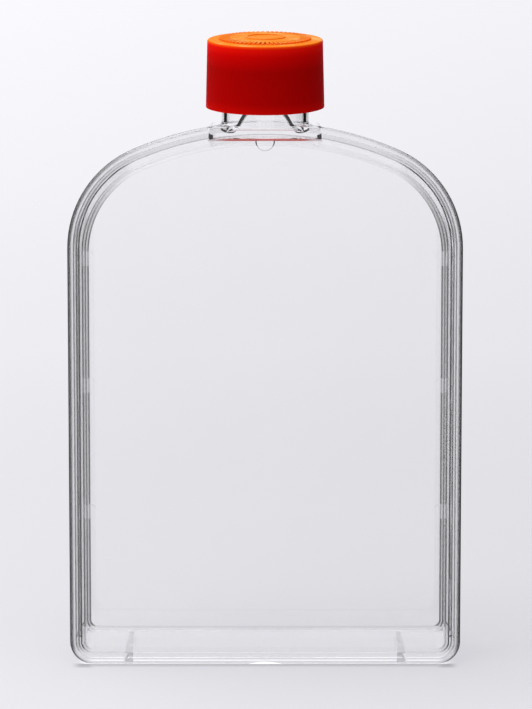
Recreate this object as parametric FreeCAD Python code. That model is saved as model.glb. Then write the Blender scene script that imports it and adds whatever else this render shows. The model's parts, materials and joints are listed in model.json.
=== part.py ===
import FreeCAD, Part
import math
import os
from FreeCAD import Vector

# A 150 square centimetre tissue culture flask of clear polystyrene, standing on its foot.
# X runs across the flask, Y from the lid towards the growth surface, Z up to the cap.
# The origin is the bottom centre of the box around the whole flask. All sizes are millimetres.

# --- Body outline, seen from the lid -----------------------------------------------------
body_width = 120.5          # over the weld flange
body_depth = 36.0           # lid face to the outside of the growth wall
spring_height = 129.0       # foot to the start of the shoulder arcs
shoulder_radius = 33.0      # outer shoulder arcs of the flange
crown_radius = 102.0        # flat arc between the two shoulders
foot_corner_radius = 7.0    # outer corners beside the foot
shoulder_lean = 5.0         # how much lower the shoulders lie at the growth wall

# --- Walls -------------------------------------------------------------------------------
wall = 1.6                  # side walls, block and ramp
wall_draft = 0.45           # side walls stand this much further in at the growth wall
growth_wall = 1.7
lid_thickness = 1.7
flange_reach = 1.75         # flange stands out from the side walls
flange_thickness = 1.7      # the tray's own flange, behind the lid
flange_edge_radius = 0.6    # outer edge of the flange's back
flange_root_radius = 0.3    # between the flange's back and the side walls
weld_gap = 0.05             # weld line between lid and flange
growth_fillet = 1.2         # inside, round the growth surface
back_fillet = 1.4           # outside, round the growth wall
lid_edge_radius = 1.2

# --- Block that carries the neck ---------------------------------------------------------
block_width = 34.6
block_top = 166.3
block_depth = 22.0          # lid face to the top of the pouring ramp
block_corner_radius = 2.3
block_roof = 1.8            # thickness below the block's flat top
block_root = 150.0          # where the block is sunk into the shoulder
ramp_foot = 162.2           # top edge of the lid below the neck
ramp_angle = 25.0           # front facet of block and neck, from upright
ramp_fall = 8.8             # drop of the pouring ramp from block top to growth wall
ramp_foot_radius = 0.5      # rounded lower edge of the facet, and the lid's top edge below it
seat_height = 2.0           # ledge behind the top edge of the lid, downwards
seat_rise = 1.1             # the same ledge, upwards

# --- Neck --------------------------------------------------------------------------------
neck_cant = 5.0             # neck leans to the lid side
neck_setback = 8.2          # lid face to the neck axis at the block top
neck_outer_radius = 13.35
neck_bore_radius = 11.7
neck_height = 23.5          # along the axis from the block top
neck_rim_radius = 0.4
neck_root_radius = 1.0      # outside, where the neck stands on the block
throat_radius = 1.0         # inside, where the bore opens into the block

# --- Foot --------------------------------------------------------------------------------
rib_spacing = 84.6
rib_front_width = 3.0
rib_back_width = 1.5
rib_back_gap = 1.5          # rib end to the outside of the growth wall
gate_notch_width = 11.0
gate_notch_depth = 0.8

# --- Small moulded marks -----------------------------------------------------------------
gate_mark_radius = 2.95
gate_mark_depth = 0.35      # also how far its sloping edge comes in
gate_mark_drop = 0.5        # its centre lies this far below the lid's top edge
pad_radius = 2.3
pad_height = 0.6
pad_inset = 0.75            # pad centre to the inner side wall
pad_first = 42.0
pad_pitch = 40.25
pad_rows = 3

# --- Vented cap --------------------------------------------------------------------------
cap_height = 20.6
thread_room = 3.05          # neck to the inside of the skirt, where both threads run
cap_skirt = 1.65
cap_roof = 2.0
cap_draft = 0.5             # skirt's radius grows by this from roof to lower edge
cap_edge_radius = 0.7
roof_border = 3.55          # flat ring of the roof around the raised disc
disc_height = 0.55
slot_count = 60             # radial vent slots in the disc's rim
slot_width = 0.6
slot_length = 3.2
port_length = 0.8           # inner end of each slot, open to the inside
centre_ring_radius = 5.5
centre_ring_width = 0.7
centre_ring_height = 0.3
land_drop = 0.4             # ring below the roof that carries membrane and seal bead
land_width = 1.7
bead_inset = 0.4            # seal bead to the edge of the neck's bore, on the mouth's rim
bead_width = 0.9
seal_gap = 0.05             # bead and membrane to what they face
membrane_thickness = 0.2
membrane_gap = 0.1          # membrane edge to the seal bead

# --- Worked out from the sizes above -----------------------------------------------------
half_width = body_width / 2
wall_inset = flange_reach
cavity_inset = flange_reach + wall
cant = math.radians(neck_cant)
ramp_slope = math.tan(math.radians(ramp_angle))
bead_inner_radius = neck_bore_radius + bead_inset
membrane_low = neck_height + seal_gap
land_low = membrane_low + membrane_thickness + seal_gap
roof_low = land_low + land_drop
cap_top = roof_low + cap_roof
cap_low = cap_top - cap_height
cap_bottom_radius = neck_outer_radius + thread_room + cap_skirt
cap_top_radius = cap_bottom_radius - cap_draft
disc_radius = cap_top_radius - roof_border
edge_centre_radius = cap_top_radius - cap_edge_radius
edge_centre_height = cap_top - cap_edge_radius
cap_overhang = (edge_centre_radius * math.cos(cant) + edge_centre_height * math.sin(cant)
                + cap_edge_radius - neck_setback)
lid_y = (cap_overhang - body_depth) / 2
back_y = lid_y + body_depth
lid_back = lid_y + lid_thickness
flange_y = lid_back + weld_gap
flange_back = flange_y + flange_thickness
ceiling = block_top - block_roof
seat_top = ramp_foot + seat_rise
neck_foot = Vector(0, lid_y + neck_setback, block_top)
neck_axis = Vector(0, -math.sin(cant), math.cos(cant))
far = 4 * body_width
touch = 1e-3                # an edge or face this close to a plane lies in it


def outline(inset, y, drop=0.0):
    """Closed arch in the plane Y = y: straight foot and sides, two shoulder arcs, one crown arc.

    inset moves the whole outline inwards, drop lowers the shoulders and the crown."""
    a = half_width - inset
    foot = inset
    spring = spring_height - drop
    corner = max(foot_corner_radius - inset, wall)
    shoulder = shoulder_radius - inset
    crown = crown_radius - inset
    crown_z = spring - math.sqrt((crown - shoulder) ** 2 - (a - shoulder) ** 2)
    lean = math.atan2(a - shoulder, spring - crown_z)
    join = Vector(crown * math.sin(lean), y, crown_z + crown * math.cos(lean))
    half = (lean + math.pi / 2) / 2
    mid = Vector(a - shoulder + shoulder * math.sin(half), y, spring + shoulder * math.cos(half))
    apex = Vector(0, y, crown_z + crown)
    knee = corner * (1 - math.sqrt(0.5))

    def mirror(p):
        return Vector(-p.x, p.y, p.z)

    foot_end = Vector(a - corner, y, foot)
    foot_mid = Vector(a - knee, y, foot + knee)
    side_low = Vector(a, y, foot + corner)
    side_top = Vector(a, y, spring)
    edges = [
        Part.LineSegment(mirror(foot_end), foot_end),
        Part.Arc(foot_end, foot_mid, side_low),
        Part.LineSegment(side_low, side_top),
        Part.Arc(side_top, mid, join),
        Part.Arc(join, apex, mirror(join)),
        Part.Arc(mirror(join), mirror(mid), mirror(side_top)),
        Part.LineSegment(mirror(side_top), mirror(side_low)),
        Part.Arc(mirror(side_low), mirror(foot_mid), mirror(foot_end)),
    ]
    return Part.Wire([edge.toShape() for edge in edges])


def plate(inset, y0, y1):
    """Flat plate with the arch outline between two Y planes."""
    face = Part.Face(outline(inset, y0))
    return face.extrude(Vector(0, y1 - y0, 0))


def level_edges(shape, low, high):
    """Edges that lie between the planes Y = low and Y = high."""
    return [e for e in shape.Edges if e.BoundBox.YMin > low - touch and e.BoundBox.YMax < high + touch]


def shell_form(inset, y0, y1, fillet):
    """Ruled body between the arch at the front and the smaller, lowered arch at the back.

    Walls draw in and shoulders fall evenly over the depth; the edge round the back is rounded."""
    share0 = (y0 - lid_y) / body_depth
    share1 = (y1 - lid_y) / body_depth
    front = outline(inset + wall_draft * share0, y0, shoulder_lean * share0)
    back = outline(inset + wall_draft * share1, y1, shoulder_lean * share1)
    form = Part.makeLoft([front, back], True, True)
    return form.makeFillet(fillet, level_edges(form, y1, y1))


def flanged_shell():
    """Outside of the tray: drafted walls with the weld flange round the front and its root fillet."""
    flange = plate(0, flange_y, flange_back)
    flange = flange.makeFillet(flange_edge_radius, level_edges(flange, flange_back, flange_back))
    shell = shell_form(wall_inset, flange_y, back_y, back_fillet).fuse(flange).removeSplitter()
    ledge = [f for f in shell.Faces
             if f.BoundBox.YMin > flange_back - touch and f.BoundBox.YMax < flange_back + touch][0]
    root = [e for loop in ledge.Wires if not loop.isSame(ledge.OuterWire) for e in loop.Edges]
    return shell.makeFillet(flange_root_radius, root)


def prism(points, half):
    """Solid between X = -half and X = half over a closed profile of (y, z) points."""
    corners = [Vector(-half, y, z) for y, z in points]
    face = Part.Face(Part.makePolygon(corners + corners[:1]))
    return face.extrude(Vector(2 * half, 0, 0))


def ramp_y(z, offset=0.0):
    """Y of the front facet at height z; offset is measured square to the facet, into the flask."""
    return lid_y - ramp_slope * (z - ramp_foot) + offset / math.cos(math.radians(ramp_angle))


def before_ramp(offset, low):
    """Everything in front of the facet plane, or of the plane offset behind it, above height low."""
    top = block_top + neck_height + wall
    return prism([(ramp_y(low, offset), low), (ramp_y(top, offset), top), (lid_y - far, top),
                  (lid_y - far, low)], far)


def neck_cylinder(radius, start, length):
    """Round bar on the neck axis; start is measured from the block top."""
    return Part.makeCylinder(radius, length, neck_foot + neck_axis * start, neck_axis)


def facet_foot(shape, z):
    """Straight front edge across the block at height z, in the plane of the lid's face."""
    return [e for e in level_edges(shape, lid_y, lid_y)
            if abs(e.CenterOfMass.z - z) < touch and e.BoundBox.ZLength < touch]


def block_blank():
    """Block under the neck with the pouring ramp behind, still square in front."""
    front_y = lid_y - neck_outer_radius
    profile = [(front_y, ramp_foot), (front_y, block_top), (lid_y + block_depth, block_top),
               (back_y, block_top - ramp_fall), (back_y, block_root), (flange_y, block_root),
               (flange_y, ramp_foot)]
    block = prism(profile, block_width / 2)
    shoulders = [e for e in block.Edges
                 if e.BoundBox.ZMax > block_top - touch and e.BoundBox.XLength < touch
                 and e.BoundBox.YLength > wall]
    return block.makeFillet(block_corner_radius, shoulders)


def block_hollow():
    """Hollow of the block below a flat ceiling and a pouring ramp of even thickness, still square
    in front."""
    front_y = lid_y - neck_bore_radius
    floor_y = back_y - growth_wall
    fall = math.atan2(ramp_fall, body_depth - block_depth)
    ramp_start = lid_y + block_depth + (block_roof - wall / math.cos(fall)) / math.tan(fall)
    ramp_end = ceiling - (floor_y - ramp_start) * math.tan(fall)
    profile = [(flange_y, block_root), (flange_y, ramp_foot - seat_height),
               (flange_back, ramp_foot - seat_height), (flange_back, seat_top), (front_y, seat_top),
               (front_y, ceiling), (ramp_start, ceiling), (floor_y, ramp_end), (floor_y, block_root)]
    return prism(profile, block_width / 2 - wall)


def neck_blank():
    """Neck tube without its bore, sunk into the block."""
    sunk = wall
    tube = neck_cylinder(neck_outer_radius, -sunk, neck_height + sunk)
    mouth = block_top + neck_height / 2
    rim = [e for e in tube.Edges if e.CenterOfMass.z > mouth and len(e.Vertexes) == 1]
    return tube.makeFillet(neck_rim_radius, rim[:1])


def block_with_neck():
    """Block and neck with a fillet round the neck's root, both cut by one front facet."""
    form = block_blank().fuse(neck_blank()).removeSplitter()
    root = [e for e in form.Edges if e.BoundBox.ZMin > block_top - touch
            and e.BoundBox.ZMax < block_top + touch and not isinstance(e.Curve, Part.Line)]
    form = form.makeFillet(neck_root_radius, root).cut(before_ramp(0, ramp_foot - seat_height))
    return form.makeFillet(ramp_foot_radius, facet_foot(form, ramp_foot))


def block_with_bore():
    """Hollow of block and neck with a rounded throat between them, behind the inside of the facet."""
    start = -block_roof - 2 * wall
    bore = neck_cylinder(neck_bore_radius, start, neck_height + wall - start)
    low = (ceiling + seat_top) / 2
    below = Part.makeBox(far, far, far, Vector(-far / 2, -far / 2, low - far))
    form = block_hollow().fuse(bore.cut(below)).removeSplitter()
    throat = [e for e in form.Edges if e.BoundBox.ZMin > ceiling - touch
              and e.BoundBox.ZMax < ceiling + touch and not isinstance(e.Curve, Part.Line)]
    return form.makeFillet(throat_radius, throat).cut(before_ramp(wall, seat_top - touch))


def gate_notch():
    """Shallow hollow across the foot where the gate was trimmed."""
    radius = (gate_notch_width ** 2 / 4 + gate_notch_depth ** 2) / (2 * gate_notch_depth)
    centre = Vector(0, lid_y - wall, gate_notch_depth - radius)
    return Part.makeCylinder(radius, body_depth / 4, centre, Vector(0, 1, 0))


def foot_rib(x):
    """Wedge under the foot wall that lets the flask stand upright, level with the flange."""
    y0 = flange_y
    y1 = back_y - rib_back_gap
    w0 = rib_front_width / 2
    w1 = rib_back_width / 2
    corners = [Vector(x - w0, y0, 0), Vector(x + w0, y0, 0), Vector(x + w1, y1, 0), Vector(x - w1, y1, 0)]
    face = Part.Face(Part.makePolygon(corners + corners[:1]))
    return face.extrude(Vector(0, 0, flange_reach + wall / 2))


def corner_pad(side, z):
    """Round ejector land in the corner between growth surface and side wall."""
    x = side * (half_width - cavity_inset - wall_draft - pad_inset)
    base = Vector(x, back_y - growth_wall - pad_height, z)
    return Part.makeCylinder(pad_radius, pad_height + growth_wall / 2, base, Vector(0, 1, 0))


def make_tray():
    """Deep half of the flask: growth surface, side walls, weld flange, block and canted neck."""
    outside = flanged_shell().fuse(block_with_neck())
    inside = shell_form(cavity_inset, flange_y, back_y - growth_wall, growth_fillet)
    inside = inside.cut(prism([(flange_y - wall, ramp_foot - seat_height), (flange_y - wall, block_top),
                               (flange_back, block_top), (flange_back, ramp_foot - seat_height)],
                              block_width / 2))
    inside = inside.fuse(block_with_bore())
    tray = outside.cut(inside)
    for side in (-1, 1):
        tray = tray.fuse(foot_rib(side * rib_spacing / 2))
        for row in range(pad_rows):
            tray = tray.fuse(corner_pad(side, pad_first + row * pad_pitch))
    return tray.cut(gate_notch()).removeSplitter()


def make_lid():
    """Flat plate welded to the tray's flange, with a straight edge below the neck block."""
    lid = plate(0, lid_y, lid_back)
    lid = lid.makeFillet(lid_edge_radius, level_edges(lid, lid_y, lid_y))
    opening_width = block_width + 2 * weld_gap
    opening = Part.makeBox(opening_width, body_depth, far,
                           Vector(-opening_width / 2, lid_y - wall, ramp_foot - weld_gap))
    mark = Part.makeCone(gate_mark_radius - gate_mark_depth, gate_mark_radius + gate_mark_depth,
                         2 * gate_mark_depth,
                         Vector(0, lid_y + gate_mark_depth, ramp_foot - gate_mark_drop), Vector(0, -1, 0))
    lid = lid.cut(opening)
    lid = lid.makeFillet(ramp_foot_radius, facet_foot(lid, ramp_foot - weld_gap))
    return lid.cut(mark).cut(gate_notch()).removeSplitter()


def on_neck(shape):
    """Moves a shape built upright about Z onto the canted neck axis."""
    shape.Placement = FreeCAD.Placement(neck_foot, FreeCAD.Rotation(Vector(1, 0, 0), neck_cant))
    return shape


def turned(points):
    """Solid of revolution about Z over a closed profile of (radius, height) points."""
    corners = [Vector(r, 0, h) for r, h in points]
    face = Part.Face(Part.makePolygon(corners + corners[:1]))
    return face.revolve(Vector(0, 0, 0), Vector(0, 0, 1), 360)


def ring(inner, outer, low, high):
    """Plain ring about Z."""
    return turned([(inner, low), (outer, low), (outer, high), (inner, high)])


def vent_slot(turn):
    """Radial slot over the edge of the raised disc, with a port through the roof at its inner end."""
    start = disc_radius - slot_length
    slot = Part.makeBox(slot_length + wall, slot_width, 2 * disc_height,
                        Vector(start, -slot_width / 2, cap_top))
    port = Part.makeBox(port_length, slot_width, 3 * cap_roof,
                        Vector(start, -slot_width / 2, cap_top - 2 * cap_roof))
    cutter = slot.fuse(port)
    cutter.rotate(Vector(0, 0, 0), Vector(0, 0, 1), turn)
    return cutter


def make_cap():
    """Moulded screw cap: drafted skirt, roof with a raised vented disc, seal bead inside."""
    body = turned([(0, cap_low), (cap_bottom_radius, cap_low), (cap_top_radius, cap_top), (0, cap_top)])
    edge = [e for e in body.Edges if e.BoundBox.ZMin > cap_top - touch]
    body = body.makeFillet(cap_edge_radius, edge)
    disc = turned([(0, roof_low), (disc_radius, roof_low), (disc_radius, cap_top + disc_height),
                   (0, cap_top + disc_height)])
    centre = ring(centre_ring_radius, centre_ring_radius + centre_ring_width, cap_top,
                  cap_top + disc_height + centre_ring_height)
    hollow = turned([(0, 0), (cap_bottom_radius - cap_skirt, 0), (cap_top_radius - cap_skirt, roof_low),
                     (0, roof_low)])
    land_outer = bead_inner_radius + bead_width
    land = ring(land_outer - land_width, land_outer, land_low, roof_low + cap_roof / 2)
    bead = ring(bead_inner_radius, land_outer, neck_height + seal_gap, roof_low)
    cap = body.fuse(disc).fuse(centre).cut(hollow).fuse(land).fuse(bead)
    slots = [vent_slot(360.0 * i / slot_count) for i in range(slot_count)]
    return on_neck(cap.cut(slots).removeSplitter())


def make_membrane():
    """Thin round filter disc under the roof's land, inside the seal bead."""
    return on_neck(Part.makeCylinder(bead_inner_radius - membrane_gap, membrane_thickness,
                                     Vector(0, 0, membrane_low)))


parts = {
    "culture_tray": make_tray(),
    "lid_plate": make_lid(),
    "vent_cap": make_cap(),
    "vent_membrane": make_membrane(),
}

os.makedirs("parts", exist_ok=True)
for name, shape in parts.items():
    shape.exportStep("parts/" + name + ".step")
    box = shape.BoundBox
    print(name, "solids", len(shape.Solids), "valid", shape.isValid(), "volume", round(shape.Volume, 1),
          "z", round(box.ZMin, 2), round(box.ZMax, 2))
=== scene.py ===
import json
import math

import bpy
import numpy as np
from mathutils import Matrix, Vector


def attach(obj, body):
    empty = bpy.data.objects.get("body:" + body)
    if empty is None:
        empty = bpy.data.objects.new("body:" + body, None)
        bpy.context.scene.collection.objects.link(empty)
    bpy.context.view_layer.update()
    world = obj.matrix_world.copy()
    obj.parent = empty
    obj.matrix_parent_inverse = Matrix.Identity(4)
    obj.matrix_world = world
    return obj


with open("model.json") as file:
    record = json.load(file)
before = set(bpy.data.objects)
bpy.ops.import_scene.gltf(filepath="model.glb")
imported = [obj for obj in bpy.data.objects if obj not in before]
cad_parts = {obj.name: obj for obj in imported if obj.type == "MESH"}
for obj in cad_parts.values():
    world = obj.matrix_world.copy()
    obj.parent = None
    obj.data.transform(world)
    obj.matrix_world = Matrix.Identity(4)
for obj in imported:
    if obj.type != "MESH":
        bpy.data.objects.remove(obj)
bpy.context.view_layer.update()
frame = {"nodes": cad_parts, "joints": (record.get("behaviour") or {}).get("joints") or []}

# Culture tray and lid plate: the flask's two mouldings of clear crystal polystyrene, with polished
# faces. The lid plate is welded to the tray's flange all the way round the arch.

cap_turn = next(joint for joint in frame["joints"] if joint["name"] == "cap_turn")
NECK_FOOT = np.array(cap_turn["pos_m"])
NECK_AXIS = np.array(cap_turn["axis"])
POLYSTYRENE_INDEX = 1.59
ABSORPTION = 6.0                        # per metre
CLEAREST = (0.98, 0.98, 0.98)
TRAY_CLOUDIEST = (0.96, 0.96, 0.965)
LID_CLOUDIEST = (0.965, 0.965, 0.965)
CLOUD_SCALE = 30.0
HALF_WIDTH = 0.06025
SPRING = 0.129                          # height at which the straight sides end
SHOULDER_RADIUS = 0.033                 # arcs of the outline, seen from the lid
CROWN_RADIUS = 0.102
CORNER_RADIUS = 0.007
SHOULDER_SIDE = HALF_WIDTH - SHOULDER_RADIUS    # places of their centres: beside the middle, height
CORNER_SIDE = HALF_WIDTH - CORNER_RADIUS
CROWN_LOW = SPRING - math.sqrt((CROWN_RADIUS - SHOULDER_RADIUS) ** 2 - SHOULDER_SIDE ** 2)
TO_LID = -0.02                          # lean to +Y below which a face looks to the lid's side
SQUARE_TO_LID = -0.997                  # lean of a face that looks there squarely, as a pad's flat top
# Painted shade of the tray: dark lines that stand in for the dark refraction of its rounded edges
GROWTH_DROP = 0.00476                   # how much lower the shoulders lie at the growth surface
GROWTH_SIDE = 0.0195                    # beyond it lie the growth surface, its fillet and the pads
GROWTH_LINES = (                        # way in from the flask's outline, darkness of the painted shade
    (0.00350, 0.0), (0.00358, 1.0), (0.00400, 1.0), (0.00408, 0.50), (0.00444, 0.50),
    (0.00452, 1.0), (0.00486, 1.0), (0.00494, 0.0),
)
GROWTH_FADE = (0.040, 0.0565, 0.15, 1.0)    # from and to this far beside the middle, darkness there
GROWTH_FOOT = (0.00465, 0.0051)         # the lines begin between these heights
FOOT_LINE_TOP = 0.0065                  # height up to which a faint painted shade line follows the foot
FOOT_LINE_SHADE = 0.15
PAD_PALER = 0.4                         # share that the lines lose across a pad
FACET_TO_LID = -0.85                    # leans to +Y and +Z below which a face is the neck's facet
FACET_DOWN = -0.35
FACET_LOW = 0.0010                      # its painted dark borders begin at this height over the neck's foot
FACET_BORDER = (0.0124, 0.0128)         # and between these distances from the neck's axis
FACET_END = 0.0148
RIB_PLACE = 0.0423                      # ribs under the foot, beside the middle
RIB_HALF_WIDTH = 0.0018
RIB_TOP = 0.0017
RIB_FRONT = -0.0086
# painted grey shade on the ribs under the foot
RIB_PAINTED_SHADE = 0.5
LID_RIM = (                             # painted dark rim: lean of the face to +Y, darkness
    (-0.99, 0.0), (-0.93, 0.5), (-0.75, 1.0), (-0.10, 1.0), (-0.02, 0.0),
)
LID_UPWARD = 0.45                       # how much an edge that faces up loses of its sideways lean
LID_FADE = (0.3, 0.95, 0.2, 1.0)        # from and to this lean, darkness there
# Glints: painted reflections of the red cap, as level red lines in the plastic's colour
GLINT_RED = (0.36, 0.004, 0.002)
TRAY_GLINTS = (                         # height, half of its thickness, strength
    (0.16237, 0.00019, 1.0), (0.16310, 0.00009, 0.6), (0.16535, 0.00009, 0.6),
)
LID_GLINTS = ((0.16202, 0.00014, 1.0),)
GLINT_BACK = -0.0110                    # the glints lie in front of this
GLINT_HALF_LENGTH = 0.0171
GLINT_FADE = (0.0115, 0.0168, 1.0, 0.4)     # from and to this far beside the middle, strength there


def add_math(tree, operation, first, second=None):
    """Math node whose inputs are sockets or plain numbers; returns its output socket."""
    node = tree.nodes.new("ShaderNodeMath")
    node.operation = operation
    for socket, value in zip(node.inputs, (first, second)):
        if isinstance(value, bpy.types.NodeSocket):
            tree.links.new(value, socket)
        elif value is not None:
            socket.default_value = value
    return node.outputs["Value"]


def add_product(tree, first, *others):
    """Product of all the values."""
    for other in others:
        first = add_math(tree, "MULTIPLY", first, other)
    return first


def add_largest(tree, first, *others):
    """Largest of all the values."""
    for other in others:
        first = add_math(tree, "MAXIMUM", first, other)
    return first


def add_rest(tree, share):
    """What is left of 1 without share."""
    return add_math(tree, "SUBTRACT", 1.0, share)


def is_below(tree, value, limit):
    """1 where value is less than limit, 0 elsewhere."""
    return add_math(tree, "LESS_THAN", value, limit)


def is_above(tree, value, limit):
    """1 where value is more than limit, 0 elsewhere."""
    return add_math(tree, "GREATER_THAN", value, limit)


def off_centre(tree, value, centre=0.0):
    """Distance between value and centre."""
    return add_math(tree, "ABSOLUTE", add_math(tree, "SUBTRACT", value, centre))


def add_ramp(tree, value, low, high, low_result=0.0, high_result=1.0):
    """Smooth step from low_result at low to high_result at high."""
    node = tree.nodes.new("ShaderNodeMapRange")
    node.interpolation_type = "SMOOTHSTEP"
    node.inputs["From Min"].default_value = low
    node.inputs["From Max"].default_value = high
    node.inputs["To Min"].default_value = low_result
    node.inputs["To Max"].default_value = high_result
    tree.links.new(value, node.inputs["Value"])
    return node.outputs["Result"]


def add_stops(tree, value, stops):
    """Straight runs of grey or colour over value, with one stop for each (place, shade) pair."""
    low, high = stops[0][0], stops[-1][0]
    share = tree.nodes.new("ShaderNodeMapRange")
    share.inputs["From Min"].default_value = low
    share.inputs["From Max"].default_value = high
    tree.links.new(value, share.inputs["Value"])
    ramp = tree.nodes.new("ShaderNodeValToRGB")
    tree.links.new(share.outputs["Result"], ramp.inputs["Fac"])
    elements = ramp.color_ramp.elements
    while len(elements) < len(stops):
        elements.new(1.0)
    for element, (at, shade) in zip(elements, stops):
        element.position = (at - low) / (high - low)
        element.color = (*shade, 1.0) if isinstance(shade, tuple) else (shade, shade, shade, 1.0)
    return ramp.outputs["Color"]


def add_mix(tree, factor, first, second):
    """Colour mix; first and second are sockets or plain colours."""
    node = tree.nodes.new("ShaderNodeMix")
    node.data_type = "RGBA"
    tree.links.new(factor, node.inputs["Factor"])
    for socket, value in ((node.inputs[6], first), (node.inputs[7], second)):
        if isinstance(value, bpy.types.NodeSocket):
            tree.links.new(value, socket)
        else:
            socket.default_value = (*value, 1.0)
    return node.outputs[2]


def add_choice(tree, factor, first, second):
    """Shader that is first where factor is 0 and second where it is 1."""
    node = tree.nodes.new("ShaderNodeMixShader")
    tree.links.new(factor, node.inputs["Fac"])
    tree.links.new(first, node.inputs[1])
    tree.links.new(second, node.inputs[2])
    return node.outputs["Shader"]


def add_noise(tree, place, scale, detail, distortion=0.0):
    """Noise from 0 to 1 at a place."""
    node = tree.nodes.new("ShaderNodeTexNoise")
    node.inputs["Scale"].default_value = scale
    node.inputs["Detail"].default_value = detail
    node.inputs["Distortion"].default_value = distortion
    tree.links.new(place, node.inputs["Vector"])
    return node.outputs["Fac"]


def split_axes(tree, vector):
    """Sockets X, Y and Z of a vector."""
    node = tree.nodes.new("ShaderNodeSeparateXYZ")
    tree.links.new(vector, node.inputs["Vector"])
    return node.outputs


def lighting_rays(tree):
    """1 for light on its way from a lamp or between matt surfaces, 0 for any other."""
    rays = tree.nodes.new("ShaderNodeLightPath")
    return add_largest(tree, rays.outputs["Is Shadow Ray"], rays.outputs["Is Diffuse Ray"])


def mirrored_light(tree, times):
    """1 for light mirrored at least so many times by the clear walls, 0 for any other."""
    rays = tree.nodes.new("ShaderNodeLightPath")
    return is_above(tree, rays.outputs["Glossy Depth"], times - 0.5)


def along_neck(tree, place):
    """Sockets for a point's height along the neck axis and its distance from the axis."""
    moved = tree.nodes.new("ShaderNodeVectorMath")
    moved.operation = "SUBTRACT"
    moved.inputs[1].default_value = NECK_FOOT
    height = tree.nodes.new("ShaderNodeVectorMath")
    height.operation = "DOT_PRODUCT"
    height.inputs[1].default_value = NECK_AXIS
    across = tree.nodes.new("ShaderNodeVectorMath")
    across.operation = "CROSS_PRODUCT"
    across.inputs[1].default_value = NECK_AXIS
    radius = tree.nodes.new("ShaderNodeVectorMath")
    radius.operation = "LENGTH"
    link = tree.links.new
    link(place.outputs["Object"], moved.inputs[0])
    link(moved.outputs["Vector"], height.inputs[0])
    link(moved.outputs["Vector"], across.inputs[0])
    link(across.outputs["Vector"], radius.inputs[0])
    return height.outputs["Value"], radius.outputs["Value"]


def way_in(tree, x, z, drop):
    """Distance from the flask's outline, seen from the lid, with shoulders and crown lowered by drop.

    For each arc it is radius - sqrt(over_x^2 + over_z^2), where over_x and over_z are how far |x| and
    z lie beyond the arc's centre, or 0. The crown arc counts between the lines from its centre through
    the shoulder arcs' centres, elsewhere the smaller of shoulder arc and foot corner arc."""
    ways = []
    shoulder = (SHOULDER_SIDE, SPRING - drop, SHOULDER_RADIUS)
    corner = (CORNER_SIDE, CORNER_RADIUS, CORNER_RADIUS)
    crown = (0.0, CROWN_LOW - drop, CROWN_RADIUS)
    for (centre_x, centre_z, radius), up in ((shoulder, 1.0), (corner, -1.0), (crown, 1.0)):
        over_x = add_largest(tree, add_math(tree, "SUBTRACT", x, centre_x), 0.0)
        beyond = add_product(tree, add_math(tree, "SUBTRACT", z, centre_z), up)
        over_z = add_largest(tree, beyond, 0.0)
        square = add_math(tree, "ADD", add_product(tree, over_x, over_x),
                          add_product(tree, over_z, over_z))
        ways.append(add_math(tree, "SUBTRACT", radius, add_math(tree, "SQRT", square)))
    beside = add_math(tree, "MINIMUM", ways[0], ways[1])
    slope = SHOULDER_SIDE / (SPRING - CROWN_LOW)
    reach = add_product(tree, add_math(tree, "SUBTRACT", z, CROWN_LOW - drop), slope)
    in_crown = is_above(tree, reach, x)
    further = add_product(tree, add_math(tree, "SUBTRACT", ways[2], beside), in_crown)
    return add_math(tree, "ADD", beside, further)


def tray_painted_shade(tree, place):
    """Painted shade of the tray: dark lines that stand in for the dark refraction of its rounded
    edges, two round the growth surface and two that border the neck's front facet.

    The lines round the growth surface follow the outline along its fillet and fade out towards the
    crown and along the foot; across the flat tops of the pads they are weaker. The ribs under the
    foot get a little painted grey shade."""
    where = split_axes(tree, place.outputs["Object"])
    normal = split_axes(tree, place.outputs["Normal"])
    beside = off_centre(tree, where["X"])
    lines = add_stops(tree, way_in(tree, beside, where["Z"], GROWTH_DROP), GROWTH_LINES)
    weight = add_product(tree, add_ramp(tree, beside, *GROWTH_FADE),
                         add_ramp(tree, where["Z"], *GROWTH_FOOT))
    foot_line = add_product(tree, is_below(tree, where["Z"], FOOT_LINE_TOP), FOOT_LINE_SHADE)
    on_pad = is_below(tree, normal["Y"], SQUARE_TO_LID)
    lines = add_product(tree, lines, add_largest(tree, weight, foot_line),
                        is_above(tree, where["Y"], GROWTH_SIDE), is_below(tree, normal["Y"], TO_LID),
                        add_rest(tree, add_product(tree, on_pad, PAD_PALER)))
    height, radius = along_neck(tree, place)
    borders = add_product(tree, is_below(tree, normal["Z"], FACET_DOWN),
                          is_below(tree, normal["Y"], FACET_TO_LID),
                          is_above(tree, height, FACET_LOW), is_below(tree, radius, FACET_END),
                          add_ramp(tree, radius, *FACET_BORDER))
    ribs = add_product(tree, is_below(tree, off_centre(tree, beside, RIB_PLACE), RIB_HALF_WIDTH),
                       is_below(tree, where["Z"], RIB_TOP), is_above(tree, where["Y"], RIB_FRONT),
                       RIB_PAINTED_SHADE)
    return add_largest(tree, lines, borders, ribs)


def lid_painted_shade(tree, place):
    """Painted shade of the lid plate: a dark rim that stands in for the dark refraction of its rounded
    edge, placed by the lean of that edge to +Y.

    It is full along the sides and round the foot corners and fades out over the shoulders, where
    light from above falls."""
    normal = split_axes(tree, place.outputs["Normal"])
    rim = add_stops(tree, normal["Y"], LID_RIM)
    flat = add_math(tree, "SQRT", add_rest(tree, add_product(tree, normal["Y"], normal["Y"])))
    sideways = add_math(tree, "DIVIDE", off_centre(tree, normal["X"]), flat)
    upwards = add_math(tree, "DIVIDE", normal["Z"], flat)
    turned = add_math(tree, "SUBTRACT", sideways, add_product(tree, upwards, LID_UPWARD))
    return add_product(tree, rim, add_ramp(tree, turned, *LID_FADE))


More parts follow.
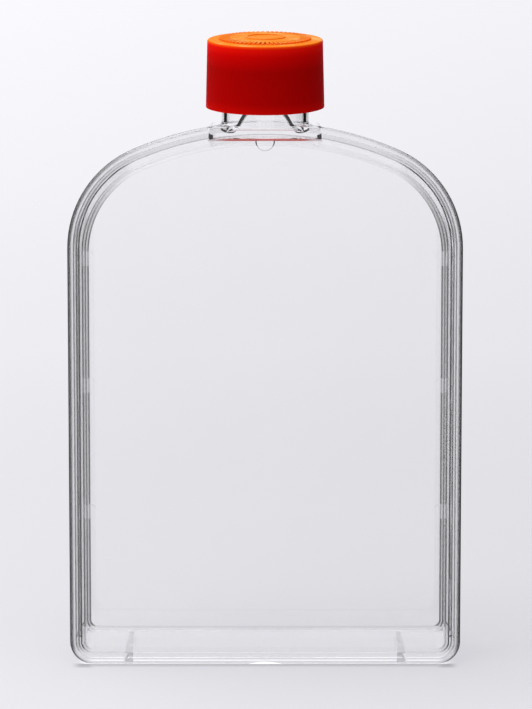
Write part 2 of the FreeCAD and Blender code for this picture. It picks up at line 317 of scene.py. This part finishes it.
def add_glints(tree, place, tint, glints):
    """Tint with level red glints across the front below the cap: painted reflections of the cap."""
    where = split_axes(tree, place.outputs["Object"])
    normal = split_axes(tree, place.outputs["Normal"])
    beside = off_centre(tree, where["X"])
    in_front = add_product(tree, is_below(tree, normal["Y"], TO_LID),
                           is_below(tree, beside, GLINT_HALF_LENGTH),
                           is_below(tree, where["Y"], GLINT_BACK),
                           add_ramp(tree, beside, *GLINT_FADE))
    for level, half, strength in glints:
        on_line = is_below(tree, off_centre(tree, where["Z"], level), half)
        tint = add_mix(tree, add_product(tree, on_line, strength, in_front), tint, GLINT_RED)
    return tint


def new_finish(name):
    """New material, its node tree and its Principled shader."""
    material = bpy.data.materials.new(name)
    material.use_nodes = True
    return material, material.node_tree, material.node_tree.nodes["Principled BSDF"]


def clear_polystyrene(name, cloudiest, darkness, glints):
    """Clear plastic that bends light as polystyrene does.

    The tint drifts between two nearly white colours in clouds a few centimetres wide. Over it the
    darkness function paints shade, the thin dark lines of its rounded edges, and painted reflections
    of the red cap cross the front below it as level glints. Lamps, diffuse light and light mirrored
    twice pass straight through, so the bench gets its light and thick corners don't trap it."""
    material, tree, plastic = new_finish(name)
    place = tree.nodes.new("ShaderNodeTexCoord")
    clouds = add_noise(tree, place.outputs["Object"], CLOUD_SCALE, detail=2.0)
    tint = add_mix(tree, clouds, CLEAREST, cloudiest)
    tint = add_mix(tree, darkness(tree, place), tint, (0.0, 0.0, 0.0))
    plastic.inputs["Roughness"].default_value = 0.0
    plastic.inputs["IOR"].default_value = POLYSTYRENE_INDEX
    plastic.inputs["Transmission Weight"].default_value = 1.0
    tree.links.new(add_glints(tree, place, tint, glints), plastic.inputs["Base Color"])
    through = tree.nodes.new("ShaderNodeBsdfTransparent")
    through.inputs["Color"].default_value = (*cloudiest, 1.0)
    straight = add_largest(tree, lighting_rays(tree), mirrored_light(tree, 2))
    body = tree.nodes.new("ShaderNodeVolumeAbsorption")
    body.inputs["Color"].default_value = (0.0, 0.0, 0.0, 1.0)
    body.inputs["Density"].default_value = ABSORPTION
    out = tree.nodes["Material Output"]
    tree.links.new(add_choice(tree, straight, plastic.outputs["BSDF"], through.outputs["BSDF"]),
                   out.inputs["Surface"])
    tree.links.new(body.outputs["Volume"], out.inputs["Volume"])
    return material


def finish_node(node, material):
    """Gives a CAD node its finish in its own material slot."""
    frame["nodes"][node].material_slots[0].material = material


tray_plastic = clear_polystyrene("clear_tray", TRAY_CLOUDIEST, tray_painted_shade, TRAY_GLINTS)
lid_plastic = clear_polystyrene("clear_lid", LID_CLOUDIEST, lid_painted_shade, LID_GLINTS)
finish_node("culture_tray", tray_plastic)
finish_node("lid_plate", lid_plastic)

# Weld seam: the film of melted polystyrene that joins the lid plate to the tray's flange, all the way
# round the arch. Its grey streaks and a dark band inside the wall are painted shade, standing in for
# the dark refraction lines of flange and walls; the painted shade is dark beside the straight sides
# and nearly clear along crown and foot.

SEAM_PLACE = 0.000025                   # middle of the gap behind the lid plate
SEAM_THICKNESS = 0.00003
SEAM_OUTER = 0.00015                    # from the flask's edge to the seam's outer and inner side
SEAM_INNER = 0.00520
SEAM_HALF_COUNT = 500                   # points along half of the outline
SHADE_BAND_OUTER = 0.00332                    # painted shade: a dark band; beyond it lie the inner streaks
SHADE_BAND_INNER = 0.00376
SEAM_SHADE_STREAKS = (                        # way in from the flask's edge, clearness
    (0.00015, 0.12), (0.00073, 0.14), (0.00100, 0.30), (0.00150, 1.00), (0.00175, 0.42),
    (0.00205, 0.40), (0.00232, 1.00), (0.00258, 0.35), (0.00290, 0.12), (0.00310, 0.95),
    (0.00332, 0.90), (0.00337, 0.00), (0.00371, 0.00), (0.00376, 0.55), (0.00415, 0.80),
    (0.00450, 0.50), (0.00475, 0.55), (0.00500, 1.00), (0.00520, 1.00),
)
SEAM_CLEAR = (0.97, 0.97, 0.97)
SEAM_THROUGH = (0.95, 0.95, 0.95)       # what the seam leaves of a lamp's light
SEAM_STRETCH = (14.0, 45.0, 1.0)        # how fast the noise that moves the streaks runs: across, along
SEAM_NOISE_SCALE = 5.0
SEAM_WANDER = 0.00025                   # how far it moves them
WELD_FADE = (0.030, 0.060)              # from and to this far beside the middle, share of the painted shade streaks
SHADE_BAND_FADE = (0.0385, 0.0455, 0.3, 1.0)
INNER_STREAKS_FADE = (0.0530, 0.0552)
SEAM_FOOT = (0.0025, 0.006)             # the streaks begin between these heights


def arch_line(half_count):
    """Points and outward normals, evenly spaced, along the flask's outline.

    The outline is half the crown arc, a shoulder arc, a straight side, a foot corner arc and half the
    foot line, then the same mirrored, back to the crown. Every point is start + length times heading,
    or centre + radius times (sin, cos) of the angle."""
    turn = np.arctan2(SHOULDER_SIDE, SPRING - CROWN_LOW)
    angles = [(0.0, turn), (turn, np.pi / 2), (np.pi / 2, np.pi / 2), (np.pi / 2, np.pi), (np.pi, np.pi)]
    centres = [(0.0, CROWN_LOW), (SHOULDER_SIDE, SPRING), None, (CORNER_SIDE, CORNER_RADIUS), None]
    radii = [CROWN_RADIUS, SHOULDER_RADIUS, 0.0, CORNER_RADIUS, 0.0]
    runs = [CROWN_RADIUS * turn, SHOULDER_RADIUS * (np.pi / 2 - turn), SPRING - CORNER_RADIUS,
            CORNER_RADIUS * np.pi / 2, CORNER_SIDE]
    ends = np.cumsum(runs)
    along = (np.arange(half_count) + 0.5) / half_count * ends[-1]
    piece = np.searchsorted(ends, along)
    rest = along - np.concatenate([[0.0], ends])[piece]
    share = rest / np.array(runs)[piece]
    begin, finish = np.array(angles)[piece].T
    angle = begin + (finish - begin) * share
    normal = np.stack([np.sin(angle), np.cos(angle)], axis=-1)
    starts = np.array([(0, 0), (0, 0), (HALF_WIDTH, SPRING), (0, 0), (CORNER_SIDE, 0)])
    middles = np.array([centre or (0.0, 0.0) for centre in centres])
    on_arc = middles[piece] + np.array(radii)[piece][:, None] * normal
    heading = np.stack([normal[:, 1], -normal[:, 0]], axis=-1)
    on_line = starts[piece] + rest[:, None] * heading
    straight = np.array([centre is None for centre in centres])[piece][:, None]
    right = np.where(straight, on_line, on_arc)
    points = np.concatenate([right, right[::-1] * (-1, 1)])
    normals = np.concatenate([normal, normal[::-1] * (-1, 1)])
    return points, normals


def new_piece(name, points, faces):
    """Object at the origin whose mesh has these points and faces."""
    mesh = bpy.data.meshes.new(name)
    mesh.from_pydata(points, [], faces)
    piece = bpy.data.objects.new(name, mesh)
    bpy.context.scene.collection.objects.link(piece)
    return piece


def weld_band(name):
    """Flat closed band: a thin rectangle, corners at two insets and two depths, carried round the arch.

    The UV map runs 0 to 1 across the band from outside, and in metres along it."""
    edge, normal = arch_line(SEAM_HALF_COUNT)
    lid = frame["nodes"]["lid_plate"]
    depth = max(corner[1] for corner in lid.bound_box) + SEAM_PLACE
    corners = ((SEAM_OUTER, -1), (SEAM_OUTER, 1), (SEAM_INNER, 1), (SEAM_INNER, -1))
    points = np.concatenate([
        np.stack([edge[:, 0] - inset * normal[:, 0],
                  np.full(len(edge), depth + side * SEAM_THICKNESS / 2),
                  edge[:, 1] - inset * normal[:, 1]], axis=-1)
        for inset, side in corners])
    count = len(edge)
    here = np.arange(count)
    there = (here + 1) % count
    faces = np.concatenate([
        np.stack([low + here, high + here, high + there, low + there], axis=-1)
        for low, high in ((0, count), (count, 2 * count), (2 * count, 3 * count), (3 * count, 0))])
    band = new_piece(name, points.tolist(), faces.tolist())
    step = np.linalg.norm(np.diff(edge, axis=0, append=edge[:1]), axis=1)
    along = np.concatenate([[0.0], np.cumsum(step)])
    share = np.array([0.0, 0.0, 1.0, 1.0])
    across = np.concatenate([
        np.tile([share[low], share[high], share[high], share[low]], (count, 1))
        for low, high in ((0, 1), (1, 2), (2, 3), (3, 0))])
    lengthwise = np.tile(np.stack([along[:-1], along[:-1], along[1:], along[1:]], axis=-1), (4, 1))
    layer = band.data.uv_layers.new(name="along_seam")
    layer.data.foreach_set("uv", np.stack([across, lengthwise], axis=-1).ravel())
    return band


def seam_polystyrene(name):
    """Clear plastic with painted shade along the weld, grey streaks and a dark band, fading out
    where the band runs level.
    """
    material, tree, film = new_finish(name)
    film.inputs["Roughness"].default_value = 0.0
    film.inputs["IOR"].default_value = 1.0
    film.inputs["Transmission Weight"].default_value = 1.0
    place = tree.nodes.new("ShaderNodeTexCoord")
    share = split_axes(tree, place.outputs["UV"])["X"]
    way = add_math(tree, "ADD", SEAM_OUTER, add_product(tree, share, SEAM_INNER - SEAM_OUTER))
    stretch = tree.nodes.new("ShaderNodeMapping")
    stretch.inputs["Scale"].default_value = SEAM_STRETCH
    tree.links.new(place.outputs["UV"], stretch.inputs["Vector"])
    noise = add_noise(tree, stretch.outputs["Vector"], SEAM_NOISE_SCALE, detail=2.0)
    drift = add_math(tree, "SUBTRACT", noise, 0.5)
    moved = add_math(tree, "ADD", way, add_product(tree, drift, SEAM_WANDER))
    streaks = add_stops(tree, moved, SEAM_SHADE_STREAKS)
    where = split_axes(tree, place.outputs["Object"])
    beside = off_centre(tree, where["X"])
    weld = is_below(tree, way, SHADE_BAND_OUTER)
    inner_streaks = is_above(tree, way, SHADE_BAND_INNER)
    shade_band = add_math(tree, "SUBTRACT", is_above(tree, way, SHADE_BAND_OUTER), inner_streaks)
    weight = add_largest(tree, add_product(tree, weld, add_ramp(tree, beside, *WELD_FADE)),
                         add_product(tree, shade_band, add_ramp(tree, beside, *SHADE_BAND_FADE)),
                         add_product(tree, inner_streaks, add_ramp(tree, beside, *INNER_STREAKS_FADE)))
    weight = add_product(tree, weight, add_ramp(tree, where["Z"], *SEAM_FOOT))
    tree.links.new(add_mix(tree, weight, SEAM_CLEAR, streaks), film.inputs["Base Color"])
    through = tree.nodes.new("ShaderNodeBsdfTransparent")
    through.inputs["Color"].default_value = (*SEAM_THROUGH, 1.0)
    tree.links.new(add_choice(tree, lighting_rays(tree), film.outputs["BSDF"], through.outputs["BSDF"]),
                   tree.nodes["Material Output"].inputs["Surface"])
    return material


weld_seam = weld_band("weld_seam")
weld_seam.data.materials.append(seam_polystyrene("weld_painted_shade"))
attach(weld_seam, "flask")

# Vent cap: orange-red polyethylene screw cap, moulded in one with its raised, slotted disc. The
# cap is one orange-red all over; painted light along the neck axis gives a deep red skirt in shade,
# a brighter rim and an orange top with painted sheen.

CAP_LOW = 0.0056                        # along the neck axis, from the block's top
CAP_TOP = 0.0262
CAP_COLOUR_AND_LIGHT = (                         # height along the axis, colour with painted light
    (CAP_LOW, (0.60, 0.0025, 0.0010)),
    (CAP_LOW + 0.0030, (0.43, 0.0008, 0.0008)),
    (CAP_TOP - 0.0080, (0.40, 0.0008, 0.0008)),
    (CAP_TOP - 0.0034, (0.62, 0.0010, 0.0010)),
    (CAP_TOP - 0.0010, (0.86, 0.0060, 0.0020)),
    (CAP_TOP - 0.0003, (0.95, 0.0700, 0.0030)),
    (CAP_TOP - 0.0001, (0.97, 0.2600, 0.0180)),
)
TOP_LOW = CAP_TOP - 0.0002              # what lies above it is the cap's top
SHEEN_PATCH_SCALE = 170.0
SHEEN_PATCH_EDGE = (0.45, 0.7)                # noise between which the patches of painted sheen begin
SHEEN_PATCH_ORANGE = (0.98, 0.42, 0.11)
DISC_REACH = 0.0141                     # just past the radius of the raised disc
SLOT_TOP = CAP_TOP + 0.0004             # within the disc, what lies below it is a slot
SLOT_RED = (0.95, 0.20, 0.02)


def cap_polyethylene(name):
    """Satin orange-red plastic with painted light along the neck axis, paler patches of painted
    sheen on the flat top and redder slots in the disc.
    """
    material, tree, plastic = new_finish(name)
    place = tree.nodes.new("ShaderNodeTexCoord")
    height, radius = along_neck(tree, place)
    colour = add_stops(tree, height, CAP_COLOUR_AND_LIGHT)
    on_top = is_above(tree, height, TOP_LOW)
    sheen_noise = add_noise(tree, place.outputs["Object"], SHEEN_PATCH_SCALE, detail=3.0)
    sheen_patches = add_product(tree, add_ramp(tree, sheen_noise, *SHEEN_PATCH_EDGE), on_top)
    topped = add_mix(tree, sheen_patches, colour, SHEEN_PATCH_ORANGE)
    in_slot = add_product(tree, is_below(tree, radius, DISC_REACH), is_below(tree, height, SLOT_TOP),
                          on_top)
    tree.links.new(add_mix(tree, in_slot, topped, SLOT_RED), plastic.inputs["Base Color"])
    plastic.inputs["Roughness"].default_value = 0.45
    plastic.inputs["IOR"].default_value = 1.5
    plastic.inputs["Specular IOR Level"].default_value = 0.004
    return material


cap_plastic = cap_polyethylene("cap_orange")
finish_node("vent_cap", cap_plastic)

# Neck thread and cap thread: one round-crested screw ridge each, moulded on the outside of the neck
# and on the inside of the cap's skirt. Both run on the neck axis, hidden while the cap is on.

THREAD_PITCH = 0.0042
THREAD_TURNS = 2.2
THREAD_RINGS = 120                      # a turn
THREAD_ROUND = 20                       # points round the ridge
THREAD_RUN_OUT = 0.1                    # of a turn, at each end


def screw_ridge(name, root, crest, first, half_height):
    """Screw ridge as a grid over t along the turns and s round its section.

    The angle is 2 pi times t, the height is first + pitch times t, and the section is a flattened
    oval from root to crest. Both ends run out to a point."""
    rings = int(THREAD_TURNS * THREAD_RINGS)
    t = (np.arange(rings) + 0.5) / rings * THREAD_TURNS
    s = np.arange(THREAD_ROUND) / THREAD_ROUND * 2 * np.pi
    run = np.clip(np.minimum(t, THREAD_TURNS - t) / THREAD_RUN_OUT, 0.0, 1.0)[:, None]
    swell = run * run * (3 - 2 * run)
    bulge = np.sign(np.cos(s)) * np.abs(np.cos(s)) ** 0.6
    spread = np.sign(np.sin(s)) * np.abs(np.sin(s)) ** 0.9
    radius = root + (crest - root) * swell * bulge
    height = first + THREAD_PITCH * t[:, None] + half_height * swell * spread
    angle = 2 * np.pi * t[:, None]
    side = np.array([1.0, 0.0, 0.0])
    deep = np.cross(NECK_AXIS, side)
    ridge = (NECK_FOOT + radius[..., None] * (np.cos(angle)[..., None] * side
                                              + np.sin(angle)[..., None] * deep)
             + height[..., None] * NECK_AXIS)
    tips = ridge[[0, -1]].mean(axis=1)
    points = np.concatenate([ridge.reshape(-1, 3), tips])
    ring = np.arange(rings - 1)[:, None] * THREAD_ROUND
    here = np.arange(THREAD_ROUND)[None, :]
    there = (here + 1) % THREAD_ROUND
    quads = np.stack([ring + here, ring + there, ring + THREAD_ROUND + there,
                      ring + THREAD_ROUND + here], axis=-1).reshape(-1, 4)
    here, there = here[0], there[0]
    last = (rings - 1) * THREAD_ROUND
    start_fan = np.stack([there, here, np.full(THREAD_ROUND, len(points) - 2)], axis=-1)
    end_fan = np.stack([last + here, last + there, np.full(THREAD_ROUND, len(points) - 1)], axis=-1)
    faces = [list(map(int, face)) for group in (quads, start_fan, end_fan) for face in group]
    if crest > root:
        faces = [face[::-1] for face in faces]
    thread = new_piece(name, points.tolist(), faces)
    thread.data.shade_smooth()
    return thread


neck_thread = screw_ridge("neck_thread", root=0.01335, crest=0.01455, first=0.0095,
                          half_height=0.00085)
neck_thread.data.materials.append(tray_plastic)
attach(neck_thread, "flask")

cap_thread = screw_ridge("cap_thread", root=0.0161, crest=0.01480, first=0.0090,
                         half_height=0.00080)
cap_thread.data.materials.append(cap_plastic)
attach(cap_thread, "cap")

# Vent membrane: thin white filter disc of matted fibres, sealed under the cap's roof.

FIBRE_SCALE = 2500.0
FIBRE_SHADE = (0.80, 0.80, 0.78)
FIBRE_WHITE = (0.93, 0.93, 0.91)
FIBRE_HEIGHT = 0.00005


def membrane_felt(name):
    """Matt white felt: fine twisted noise for its colour and its bumps."""
    material, tree, felt = new_finish(name)
    place = tree.nodes.new("ShaderNodeTexCoord")
    fibres = add_noise(tree, place.outputs["Object"], FIBRE_SCALE, detail=4.0, distortion=1.5)
    tree.links.new(add_mix(tree, fibres, FIBRE_SHADE, FIBRE_WHITE), felt.inputs["Base Color"])
    matting = tree.nodes.new("ShaderNodeBump")
    matting.inputs["Strength"].default_value = 0.4
    matting.inputs["Distance"].default_value = FIBRE_HEIGHT
    tree.links.new(fibres, matting.inputs["Height"])
    tree.links.new(matting.outputs["Normal"], felt.inputs["Normal"])
    felt.inputs["Roughness"].default_value = 0.85
    return material


finish_node("vent_membrane", membrane_felt("membrane_white"))

# Bench: a pale bench top that fades into the backdrop with distance. Light mirrored by the clear
# walls passes through it and finds the backdrop.

BENCH_RADIUS = 12.0
BENCH_NEAR = (0.79, 0.785, 0.815)
BENCH_FAR = (0.93, 0.925, 0.965)
BENCH_FADE = (                          # r / (r + 1 m) at distance r, share of the far colour
    (0.08, 0.0), (0.25, 0.27), (0.42, 0.66), (0.64, 0.88), (0.84, 1.0),
)
BENCH_LIGHTS_TO = (0.1, 0.3)            # between these r / (r + 1 m) it stops adding light
BENCH_ENDS = (0.86, 0.92)               # and between these it gives way to the backdrop
NEAR_LEAN = 0.25                        # painted light: how much brighter the left is than the middle, near and far
FAR_LEAN = 0.4
LEAN_ROOM = 0.8                         # metres; keeps that lean gentle near the flask
BENCH_FORWARD = (-0.09, 0.09, 1.04, 0.99)   # painted light, brighter in front: Y from and to, brightness there
SHADE_FRONT = (-0.0165, -0.0125)        # contact shade along the lid's foot: Y where it begins,
SHADE_BACK = (-0.0118, -0.0112, 1.0, 0.0)   # Y where it ends,
SHADE_END = (0.055, 0.0605, 1.0, 0.0)   # and how far beside the middle it ends
SHADE_DEPTH = 0.25
CORNER_SHADE_FRONT = (-0.0180, -0.0140)        # painted shade at the foot's corners: Y where it begins,
CORNER_SHADE_BACK = (-0.0115, -0.0095, 1.0, 0.0)   # Y where it ends,
CORNER_SHADE_INNER = (0.0515, 0.0550)          # and the same beside the middle
CORNER_SHADE_OUTER = (0.0565, 0.0600, 1.0, 0.0)
CORNER_SHADE_DEPTH = 0.35
RIB_CONTACT = (0.0010, 0.0017, 1.0, 0.0)    # shade below a rib: how far from its middle it ends,
RIB_CONTACT_FRONT = -0.0105             # and its ends in Y
RIB_CONTACT_BACK = 0.0222
RIB_DEPTH = 0.3
CAUGHT_FRONT = (-0.0118, -0.0112)       # light caught behind the lid's foot: Y where it begins,
CAUGHT_BACK = (-0.006, -0.001, 1.0, 0.0)    # Y where it ends,
CAUGHT_END = (0.053, 0.060, 1.0, 0.0)   # and how far beside the middle it ends
CAUGHT_GLOW = 0.25


def rib_contact(tree, where, beside):
    """1 on the bench below the two ribs of the flask's foot, 0 elsewhere."""
    return add_product(tree, add_ramp(tree, off_centre(tree, beside, RIB_PLACE), *RIB_CONTACT),
                       is_above(tree, where["Y"], RIB_CONTACT_FRONT),
                       is_below(tree, where["Y"], RIB_CONTACT_BACK))


def contact_shade(tree, where, beside):
    """Painted contact shade along the lid's foot, at its two corners and below the ribs."""
    shade = add_product(tree, add_ramp(tree, where["Y"], *SHADE_FRONT),
                        add_ramp(tree, where["Y"], *SHADE_BACK),
                        add_ramp(tree, beside, *SHADE_END), SHADE_DEPTH)
    corner_shade = add_product(tree, add_ramp(tree, where["Y"], *CORNER_SHADE_FRONT),
                        add_ramp(tree, where["Y"], *CORNER_SHADE_BACK),
                        add_ramp(tree, beside, *CORNER_SHADE_INNER),
                        add_ramp(tree, beside, *CORNER_SHADE_OUTER), CORNER_SHADE_DEPTH)
    ribs = add_product(tree, rib_contact(tree, where, beside), RIB_DEPTH)
    return add_largest(tree, shade, corner_shade, ribs)


def caught_light(tree, where, beside):
    """1 in the strip of light that the flask's foot gathers behind the lid, but not below the ribs."""
    return add_product(tree, add_ramp(tree, where["Y"], *CAUGHT_FRONT),
                       add_ramp(tree, where["Y"], *CAUGHT_BACK),
                       add_ramp(tree, beside, *CAUGHT_END),
                       add_rest(tree, rib_contact(tree, where, beside)))


def bench_paint(name):
    """Matt pale paint near the flask, turning with distance into the plain glow of the backdrop.

    Painted light makes it brighter to the left and in front, painted contact shade darkens it at
    the lid's foot, and a glowing strip paints the light caught behind that foot.
    """
    material, tree, paint = new_finish(name)
    place = tree.nodes.new("ShaderNodeTexCoord")
    where = split_axes(tree, place.outputs["Object"])
    beside = off_centre(tree, where["X"])
    span = tree.nodes.new("ShaderNodeVectorMath")
    span.operation = "LENGTH"
    tree.links.new(place.outputs["Object"], span.inputs[0])
    distance = span.outputs["Value"]
    reach = add_math(tree, "DIVIDE", distance, add_math(tree, "ADD", distance, 1.0))
    aslant = add_math(tree, "DIVIDE", where["X"], add_math(tree, "ADD", distance, LEAN_ROOM))
    brightness = add_product(tree, add_rest(tree, add_product(tree, aslant, NEAR_LEAN)),
                             add_ramp(tree, where["Y"], *BENCH_FORWARD),
                             add_rest(tree, contact_shade(tree, where, beside)))
    near = tree.nodes.new("ShaderNodeVectorMath")
    near.operation = "SCALE"
    near.inputs[0].default_value = BENCH_NEAR
    tree.links.new(brightness, near.inputs["Scale"])
    paint.inputs["Roughness"].default_value = 0.8
    paint.inputs["Specular IOR Level"].default_value = 0.0
    tree.links.new(near.outputs["Vector"], paint.inputs["Base Color"])
    caught = caught_light(tree, where, beside)
    glow = tree.nodes.new("ShaderNodeEmission")
    glow.inputs["Color"].default_value = (*BENCH_FAR, 1.0)
    strength = add_math(tree, "ADD", add_rest(tree, add_product(tree, aslant, FAR_LEAN)),
                        add_product(tree, caught, CAUGHT_GLOW))
    tree.links.new(strength, glow.inputs["Strength"])
    far_share = add_largest(tree, add_stops(tree, reach, BENCH_FADE), caught)
    top = add_choice(tree, far_share, paint.outputs["BSDF"], glow.outputs["Emission"])
    rays = tree.nodes.new("ShaderNodeLightPath")
    too_far = add_product(tree, rays.outputs["Is Diffuse Ray"], add_ramp(tree, reach, *BENCH_LIGHTS_TO))
    opened = add_largest(tree, too_far, mirrored_light(tree, 1), add_ramp(tree, reach, *BENCH_ENDS))
    through = tree.nodes.new("ShaderNodeBsdfTransparent")
    tree.links.new(add_choice(tree, opened, top, through.outputs["BSDF"]),
                   tree.nodes["Material Output"].inputs["Surface"])
    return material


bpy.ops.mesh.primitive_circle_add(vertices=96, radius=BENCH_RADIUS, fill_type="TRIFAN")
bench = bpy.context.object
bench.name = "bench"
bench.data.materials.append(bench_paint("pale_bench"))

# Backdrop: pale all round, a little brighter on the left, dimmer for what it adds as light. Light
# mirrored by the clear walls finds four dark uprights in it, and only darkness after six mirrorings.

BACKDROP = (0.93, 0.925, 0.965)
BACKDROP_DARK = (0.01, 0.01, 0.01)
BACKDROP_LIGHT = (0.62, 0.62, 0.63)
BACKDROP_LEAN = 0.6                     # share by which light from the left beats the middle
UPRIGHT_EDGE = (0.39, 0.44)             # |x y| of a level direction; an upright begins between these

world = bpy.data.worlds.new("studio")
bpy.context.scene.world = world
world.use_nodes = True
tree = world.node_tree
tree.nodes.clear()
place = tree.nodes.new("ShaderNodeTexCoord")
heading = split_axes(tree, place.outputs["Generated"])
lean = add_rest(tree, add_product(tree, heading["X"], BACKDROP_LEAN))
level = add_rest(tree, add_product(tree, heading["Z"], heading["Z"]))
diagonal = add_math(tree, "DIVIDE", off_centre(tree, add_product(tree, heading["X"], heading["Y"])), level)
upright = add_product(tree, add_ramp(tree, diagonal, *UPRIGHT_EDGE), mirrored_light(tree, 1))
darkness = add_largest(tree, upright, mirrored_light(tree, 6))
seen = tree.nodes.new("ShaderNodeBackground")
tree.links.new(add_mix(tree, darkness, BACKDROP, BACKDROP_DARK), seen.inputs["Color"])
tree.links.new(add_math(tree, "ADD", 0.5, add_product(tree, lean, 0.5)), seen.inputs["Strength"])
lighting = tree.nodes.new("ShaderNodeBackground")
lighting.inputs["Color"].default_value = (*BACKDROP_LIGHT, 1.0)
tree.links.new(lean, lighting.inputs["Strength"])
rays = tree.nodes.new("ShaderNodeLightPath")
out = tree.nodes.new("ShaderNodeOutputWorld")
tree.links.new(add_choice(tree, rays.outputs["Is Diffuse Ray"], seen.outputs["Background"],
                          lighting.outputs["Background"]), out.inputs["Surface"])

# Top lamp: one large soft lamp above, to the left, for the soft shadow on the bench.

LAMP_PLACE = (-0.15, -0.05, 0.95)
LAMP_AIM = (0.0, 0.0, 0.1)
LAMP_WIDTH = 0.7
LAMP_POWER = 4.0

lamp = bpy.data.lights.new("top_light", "AREA")
lamp.size = LAMP_WIDTH
lamp.energy = LAMP_POWER
top_light = bpy.data.objects.new("top_light", lamp)
top_light.location = LAMP_PLACE
top_light.rotation_euler = (Vector(LAMP_AIM) - Vector(LAMP_PLACE)).to_track_quat("-Z", "Y").to_euler()
bpy.context.scene.collection.objects.link(top_light)

# Camera: a long lens a metre in front of the lid, a little above the flask, looking slightly down.

CAMERA_PLACE = (0.00027, -1.0763, 0.2405)
CAMERA_TILT = 82.3                      # degrees from straight down
CAMERA_LENS = 178.6
CAMERA_SENSOR = 36.0

camera = bpy.data.objects.new("camera", bpy.data.cameras.new("camera"))
camera.data.sensor_width = CAMERA_SENSOR
camera.data.lens = CAMERA_LENS
camera.data.clip_end = 20.0
camera.location = CAMERA_PLACE
camera.rotation_euler = (math.radians(CAMERA_TILT), 0.0, 0.0)
bpy.context.scene.collection.objects.link(camera)
bpy.context.scene.camera = camera
bpy.context.scene.view_settings.view_transform = "Standard"
